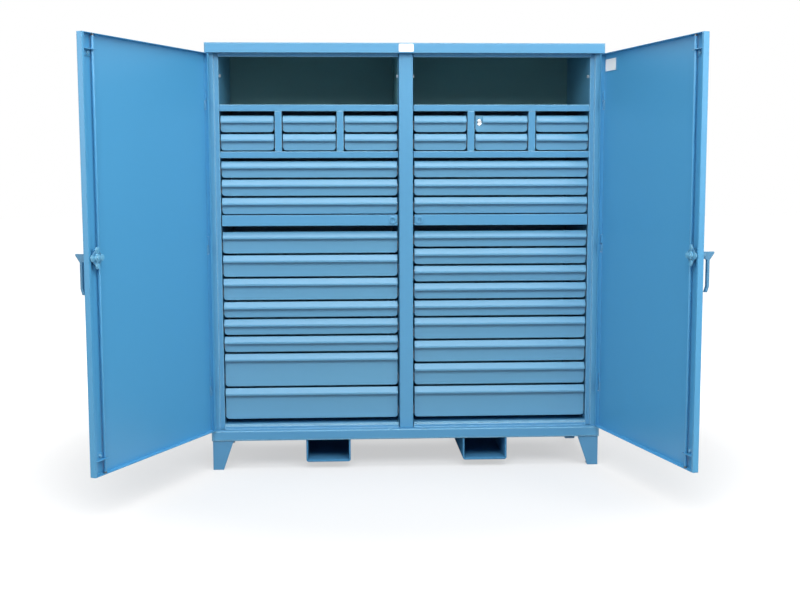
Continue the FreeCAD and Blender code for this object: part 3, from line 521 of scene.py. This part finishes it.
def layers(seat, stack):
    return [[seat @ Vector((x, y, height)) for x, y in points] for points, height in stack]


def skin(mesh, loops, ring=False):
    rows = [[mesh.verts.new(point) for point in loop] for loop in loops]
    pairs = list(zip(rows, rows[1:]))
    if ring:
        pairs.append((rows[-1], rows[0]))
    else:
        mesh.faces.new(rows[0])
        mesh.faces.new(rows[-1])
    for first, second in pairs:
        count = len(first)
        for spot in range(count):
            after = (spot + 1) % count
            mesh.faces.new((first[spot], first[after], second[after], second[spot]))


domeShape = {"rings": 5, "steps": 20, "lean": 84}
headShape = {"cut": 0.14, "washerRim": 0.25}
sunk = 0.9          # where a part starts in the height of the one that it stands on
sharpAngle = 32


def dome(mesh, seat, radius, height):
    stack = []
    for ring in range(domeShape["rings"] + 1):
        lean = math.radians(domeShape["lean"]) * ring / domeShape["rings"]
        stack.append((circle(radius * math.cos(lean), domeShape["steps"]), height * math.sin(lean)))
    skin(mesh, layers(seat, stack))


def disc(mesh, seat, radius, height, rim):
    wall = circle(radius)
    skin(mesh, layers(seat, [(wall, 0), (wall, height - rim), (circle(radius - rim), height)]))


def hexHead(mesh, seat, across, height, washer=0, washerHeight=0):
    if washer:
        disc(mesh, seat, washer, washerHeight, washerHeight * headShape["washerRim"])
    cut = height * headShape["cut"]
    top = washerHeight + height
    wall = hexagon(across)
    crown = hexagon(across - 2 * cut)
    skin(mesh, layers(seat, [(wall, washerHeight * sunk), (wall, top - cut), (crown, top)]))


def plate(mesh, seat, wide, tall, corner, height, rim):
    wall = roundedBox(wide, tall, corner)
    crown = roundedBox(wide - 2 * rim, tall - 2 * rim, corner - rim)
    skin(mesh, layers(seat, [(wall, 0), (wall, height - rim), (crown, height)]))


def addPiece(name, mesh, material, body):
    data = bpy.data.meshes.new(name)
    bmesh.ops.recalc_face_normals(mesh, faces=mesh.faces)
    mesh.to_mesh(data)
    mesh.free()
    data.polygons.foreach_set("use_smooth", [True] * len(data.polygons))
    data.set_sharp_from_angle(angle=math.radians(sharpAngle))
    data.materials.append(material)
    piece = bpy.data.objects.new(name, data)
    bpy.context.scene.collection.objects.link(piece)
    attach(piece, body)
    return piece


# A blank plate riveted to the middle of the header
headerPlate = {"wide": 0.068, "tall": 0.036, "corner": 0.004, "thick": 0.0013, "rim": 0.0003,
               "rivet": 0.0022, "rivetHeight": 0.0011, "rivetInset": 0.005}


def rivetCorners(mesh, seat, look):
    reachX = look["wide"] / 2 - look["rivetInset"]
    reachY = look["tall"] / 2 - look["rivetInset"]
    for signX in (-1, 1):
        for signY in (-1, 1):
            spot = Matrix.Translation((signX * reachX, signY * reachY, look["thick"] * sunk))
            dome(mesh, seat @ spot, look["rivet"], look["rivetHeight"])


def makePlate(name, look, seat, body):
    board = bmesh.new()
    plate(board, seat, look["wide"], look["tall"], look["corner"], look["thick"], look["rim"])
    rivets = bmesh.new()
    rivetCorners(rivets, seat, look)
    addPiece(f"{name}_rivets", rivets, zinc, body)
    return addPiece(name, board, plateWhite, body)


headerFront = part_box("top_header")[0].y
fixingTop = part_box("plates_and_bolts")[1].z
headerSeat = faceAt((0, headerFront, fixingTop - headerPlate["tall"] / 2), (0, -1, 0))
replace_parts(makePlate("header_plate", headerPlate, headerSeat, "cabinet"), "plates_and_bolts")

# Hex bolts with washers on the cubby walls, two in each bay
cubbyBolt = {"across": 0.013, "height": 0.005, "washer": 0.0085, "washerHeight": 0.0012,
             "y": -0.2177, "z": 1.8309, "bayInner": 0.0353, "bayOuter": 0.8567}


def makeCubbyBolts():
    look = cubbyBolt
    mesh = bmesh.new()
    for side in (-1, 1):
        for reach, outward in ((look["bayInner"], side), (look["bayOuter"], -side)):
            seat = faceAt((side * reach, look["y"], look["z"]), (outward, 0, 0))
            hexHead(mesh, seat, look["across"], look["height"], look["washer"], look["washerHeight"])
    addPiece("cubby_bolts", mesh, zinc, "cabinet")


makeCubbyBolts()

# Where things are on a door: measured from its hinge line, its outer face and the floor
doorTurn = {}
for side, along in (("left", 1), ("right", -1)):
    hinge = joints[f"{side}_door_hinge"]
    swing = Matrix.Rotation(-math.radians(hinge["range_deg"][0]), 3, Vector(hinge["axis"]))
    doorTurn[side] = (Vector(hinge["pos_m"]), swing @ Vector((along, 0, 0)), swing @ Vector((0, 1, 0)))


def doorSeat(side, along, depth, height):
    hinge, alongWay, inward = doorTurn[side]
    spot = hinge + alongWay * along + inward * depth
    return faceAt((spot.x, spot.y, height), inward)


# A second blank plate, high inside the right door
doorPlate = {"wide": 0.105, "tall": 0.053, "corner": 0.003, "thick": 0.0014, "rim": 0.0003,
             "rivet": 0.0022, "rivetHeight": 0.001, "rivetInset": 0.006,
             "along": 0.067, "depth": 0.0022, "drop": 0.052}
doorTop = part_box("right_door")[1].z
doorPlateSeat = doorSeat("right", doorPlate["along"], doorPlate["depth"], doorTop - doorPlate["drop"])
makePlate("door_plate", doorPlate, doorPlateSeat, "right_door")

# Boss on the crank inside each door: a cast cross with a bolted pad on each arm and a nut on its hub
crankBoss = {"depth": 0.0282, "web": 0.0090, "webHeight": 0.0020, "arms": 4, "padReach": 0.031, "pad": 0.0132,
             "padHeight": 0.0027, "bolt": 0.013, "boltHeight": 0.0014, "hub": 0.0158, "hubHeight": 0.0056,
             "hubSunk": 0.95, "nut": 0.018, "nutHeight": 0.0034, "stud": 0.0042, "studHeight": 0.0016,
             "rim": 0.0009}


def makeCrankBoss(side):
    look = crankBoss
    turn = joints[f"{side}_handle_turn"]
    inward = doorTurn[side][2]
    seat = faceAt(Vector(turn["pos_m"]) + inward * look["depth"], inward)
    mesh = bmesh.new()
    rim = look["rim"]
    for wide, tall in ((2 * look["padReach"], look["web"]), (look["web"], 2 * look["padReach"])):
        plate(mesh, seat, wide, tall, 2 * rim, look["webHeight"], rim)
    for x, y in circle(look["padReach"], look["arms"]):
        spot = seat @ Matrix.Translation((x, y, 0))
        disc(mesh, spot, look["pad"], look["padHeight"], rim)
        hexHead(mesh, raised(spot, look["padHeight"] * sunk), look["bolt"], look["boltHeight"])
    disc(mesh, seat, look["hub"], look["hubHeight"], rim)
    top = raised(seat, look["hubHeight"] * look["hubSunk"])
    hexHead(mesh, top, look["nut"], look["nutHeight"])
    dome(mesh, raised(top, look["nutHeight"] * sunk), look["stud"], look["studHeight"])
    addPiece(f"{side}_crank_boss", mesh, litBossPaint, f"{side}_handle")


for side in ("left", "right"):
    makeCrankBoss(side)

# Two painted bolts through the leg of each rod guide, near the ends of the doors
guideBolt = {"across": 0.013, "height": 0.005, "washer": 0.0085, "washerHeight": 0.0012,
             "depth": 0.0053, "along": (0.857, 0.890), "upperDrop": 0.0745, "lowerRise": 0.0765}


def makeGuideBolts(side):
    look = guideBolt
    low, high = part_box(f"{side}_door")
    mesh = bmesh.new()
    for along in look["along"]:
        for height in (high.z - look["upperDrop"], low.z + look["lowerRise"]):
            seat = doorSeat(side, along, look["depth"], height)
            hexHead(mesh, seat, look["across"], look["height"], look["washer"], look["washerHeight"])
    addPiece(f"{side}_guide_bolts", mesh, litBossPaint, f"{side}_door")


for side in ("left", "right"):
    makeGuideBolts(side)

# Oval rosette round the drawer lock
rosette = {"radius": 0.0112, "stretch": 1.36, "bore": 0.0068, "height": 0.0026, "crown": 0.0034,
           "stand": 0.0003, "wallShare": 0.6, "steps": 40}


def makeRosette():
    look = rosette
    steps = look["steps"]
    seat = faceAt(Vector(joints["drawer_lock_turn"]["pos_m"]) + Vector((0, -look["stand"], 0)), (0, -1, 0))
    outer = circle(look["radius"], steps, look["stretch"])
    crown = circle((look["radius"] + look["bore"]) / 2, steps, 1 + (look["stretch"] - 1) / 2)
    bore = circle(look["bore"], steps)
    mesh = bmesh.new()
    skin(mesh, layers(seat, [(outer, 0), (outer, look["height"] * look["wallShare"]), (crown, look["crown"]),
                             (bore, look["height"]), (bore, 0)]), ring=True)
    addPiece("lock_rosette", mesh, chrome, "right_small_drawer_2")


makeRosette()

# Weld beads: rippled fillets that hold the legs and the fork pockets to the bottom sheet
beadLook = {"size": 0.0045, "ripple": 0.0035, "rippleDepth": 0.16, "endTaper": 0.35,
            "rippleSteps": 3, "fewest": 6, "arcSteps": 5}
legWeld = {"plate": 0.006, "top": 0.097, "start": 0.012}
pocketWeld = {"wide": 0.209, "stitch": 0.045, "pitch": 0.135}


def bead(mesh, start, end, wayA, wayB):
    look = beadLook
    start, end, wayA, wayB = (Vector(value) for value in (start, end, wayA, wayB))
    count = max(look["fewest"], int((end - start).length / look["ripple"]) * look["rippleSteps"])
    loops = []
    for station in range(count + 1):
        wave = abs(math.sin(math.pi * station / look["rippleSteps"]))
        size = look["size"] * (1 - look["rippleDepth"] * wave)
        if station in (0, count):
            size = size * look["endTaper"]
        centre = start.lerp(end, station / count)
        loop = [centre]
        for step in range(look["arcSteps"] + 1):
            turn = math.pi / 2 * step / look["arcSteps"]
            loop.append(centre + (wayA * math.cos(turn) + wayB * math.sin(turn)) * size)
        loops.append(loop)
    skin(mesh, loops)


def makeLegWelds():
    low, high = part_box("legs")
    thick, near, far = legWeld["plate"], legWeld["start"], legWeld["top"] - legWeld["start"]
    top = high.z
    mesh = bmesh.new()
    for cornerX in (low.x, high.x):
        for cornerY in (low.y, high.y):
            inX = -math.copysign(1, cornerX)
            inY = -math.copysign(1, cornerY)
            x = cornerX + inX * thick
            y = cornerY + inY * thick
            bead(mesh, (x, y, thick), (x, y, top), (inX, 0, 0), (0, inY, 0))
            bead(mesh, (cornerX + inX * near, y, top), (cornerX + inX * far, y, top), (0, inY, 0), (0, 0, -1))
            bead(mesh, (x, cornerY + inY * near, top), (x, cornerY + inY * far, top), (inX, 0, 0), (0, 0, -1))
    addPiece("leg_welds", mesh, basePaint, "cabinet")


def makePocketWelds():
    low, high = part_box("fork_pockets")
    pitch = pocketWeld["pitch"]
    half = pocketWeld["stitch"] / 2
    walls = []
    for side in (-1, 1):
        walls.append((side * high.x, side))
        walls.append((side * (high.x - pocketWeld["wide"]), -side))
    stitches = int((high.y - low.y) / pitch)
    mesh = bmesh.new()
    for x, outward in walls:
        for stitch in range(stitches + 1):
            y = (stitch - stitches / 2) * pitch
            bead(mesh, (x, y - half, high.z), (x, y + half, high.z), (outward, 0, 0), (0, 0, -1))
    addPiece("pocket_welds", mesh, pocketPaint, "cabinet")


makeLegWelds()
makePocketWelds()


# Floor, light and camera
floorLook = {"colour": (0.35, 0.35, 0.35, 1), "size": 60,
             "glow": 0.54, "farGlow": 1.0, "near": 1.2, "far": 2.6}


def makeFloor():
    look = floorLook
    reach = look["size"] / 2
    corners = [(-reach, -reach, 0), (reach, -reach, 0), (reach, reach, 0), (-reach, reach, 0)]
    mesh = bpy.data.meshes.new("floor")
    mesh.from_pydata(corners, [], [(0, 1, 2, 3)])
    floor = bpy.data.objects.new("floor", mesh)
    bpy.context.scene.collection.objects.link(floor)
    finish = Finish(bpy.data.materials.new("floorPale"), "ShaderNodeAddShader")
    distance = finish.add("ShaderNodeVectorMath", {"operation": "LENGTH"}, {0: finish.where()}, "Value")
    far = finish.step(distance, look["near"], look["far"])
    strength = look["glow"] + far * (look["farGlow"] - look["glow"])
    matt = finish.add("ShaderNodeBsdfDiffuse", sockets={"Color": look["colour"]})
    glow = finish.add("ShaderNodeEmission", sockets={"Strength": finish.seen() * strength})
    finish.give({0: matt, 1: glow})
    mesh.materials.append(finish.owner)


worldLook = {"colour": (1, 1, 1, 1), "ambient": 0.24, "seen": 1.0}


def makeWorld():
    look = worldLook
    world = bpy.data.worlds.new("studio")
    bpy.context.scene.world = world
    finish = Finish(world, "ShaderNodeBackground", "ShaderNodeOutputWorld")
    strength = look["ambient"] + finish.seen() * (look["seen"] - look["ambient"])
    finish.give({"Color": look["colour"], "Strength": strength})


lamps = [
    {"name": "keyLamp", "spot": (0.2, -4.4, 4.1), "aim": (0, -0.3, 1.0), "size": (5.0, 2.4), "power": 214},
    {"name": "pullLamp", "spot": (0.2, -1.9, 6.5), "aim": (0, -0.3, 1.0), "size": (4.5, 2.0), "power": 145},
    {"name": "rightFill", "spot": (4.6, -3.6, 2.6), "aim": (0, -0.4, 1.0), "size": (2.4, 2.8), "power": 90},
    {"name": "leftFill", "spot": (-8.0, -5.0, 3.0), "aim": (0, -0.4, 1.0), "size": (4.0, 4.0), "power": 180},
    {"name": "backLamp", "spot": (0, 4.5, 4.5), "aim": (0, 0.3, 1.0), "size": (5.0, 2.4), "power": 120},
]


def makeLamps():
    for lamp in lamps:
        data = bpy.data.lights.new(lamp["name"], "AREA")
        data.shape = "RECTANGLE"
        data.size, data.size_y = lamp["size"]
        data.energy = lamp["power"]
        thing = bpy.data.objects.new(lamp["name"], data)
        thing.location = lamp["spot"]
        facing = Vector(lamp["aim"]) - Vector(lamp["spot"])
        thing.rotation_euler = facing.to_track_quat("-Z", "Y").to_euler()
        bpy.context.scene.collection.objects.link(thing)


viewpoint = {
    "imageWidth": 800,
    "focalPixels": 1166.4,
    "sensor": 36,
    "clipEnd": 200,
    "spot": (-0.2969, -5.6994, 1.3866),
    "yaw": 0.0492,
    "pitch": 0.1096,
    "roll": -0.0025,
}


def makeCamera():
    yaw, pitch, roll = viewpoint["yaw"], viewpoint["pitch"], viewpoint["roll"]
    ahead = Vector((math.sin(yaw) * math.cos(pitch), math.cos(yaw) * math.cos(pitch), -math.sin(pitch)))
    right = Vector((math.cos(yaw), -math.sin(yaw), 0))
    up = right.cross(ahead)
    across = right * math.cos(roll) + up * math.sin(roll)
    upward = up * math.cos(roll) - right * math.sin(roll)
    data = bpy.data.cameras.new("camera")
    data.sensor_width = viewpoint["sensor"]
    data.lens = viewpoint["focalPixels"] * viewpoint["sensor"] / viewpoint["imageWidth"]
    data.clip_end = viewpoint["clipEnd"]
    camera = bpy.data.objects.new("camera", data)
    turn = Matrix((across, upward, -ahead)).transposed().to_4x4()
    camera.matrix_world = Matrix.Translation(viewpoint["spot"]) @ turn
    bpy.context.scene.collection.objects.link(camera)
    bpy.context.scene.camera = camera


makeFloor()
makeWorld()
makeLamps()
makeCamera()
bpy.context.scene.view_settings.view_transform = "Standard"
print("floor, light and camera set")
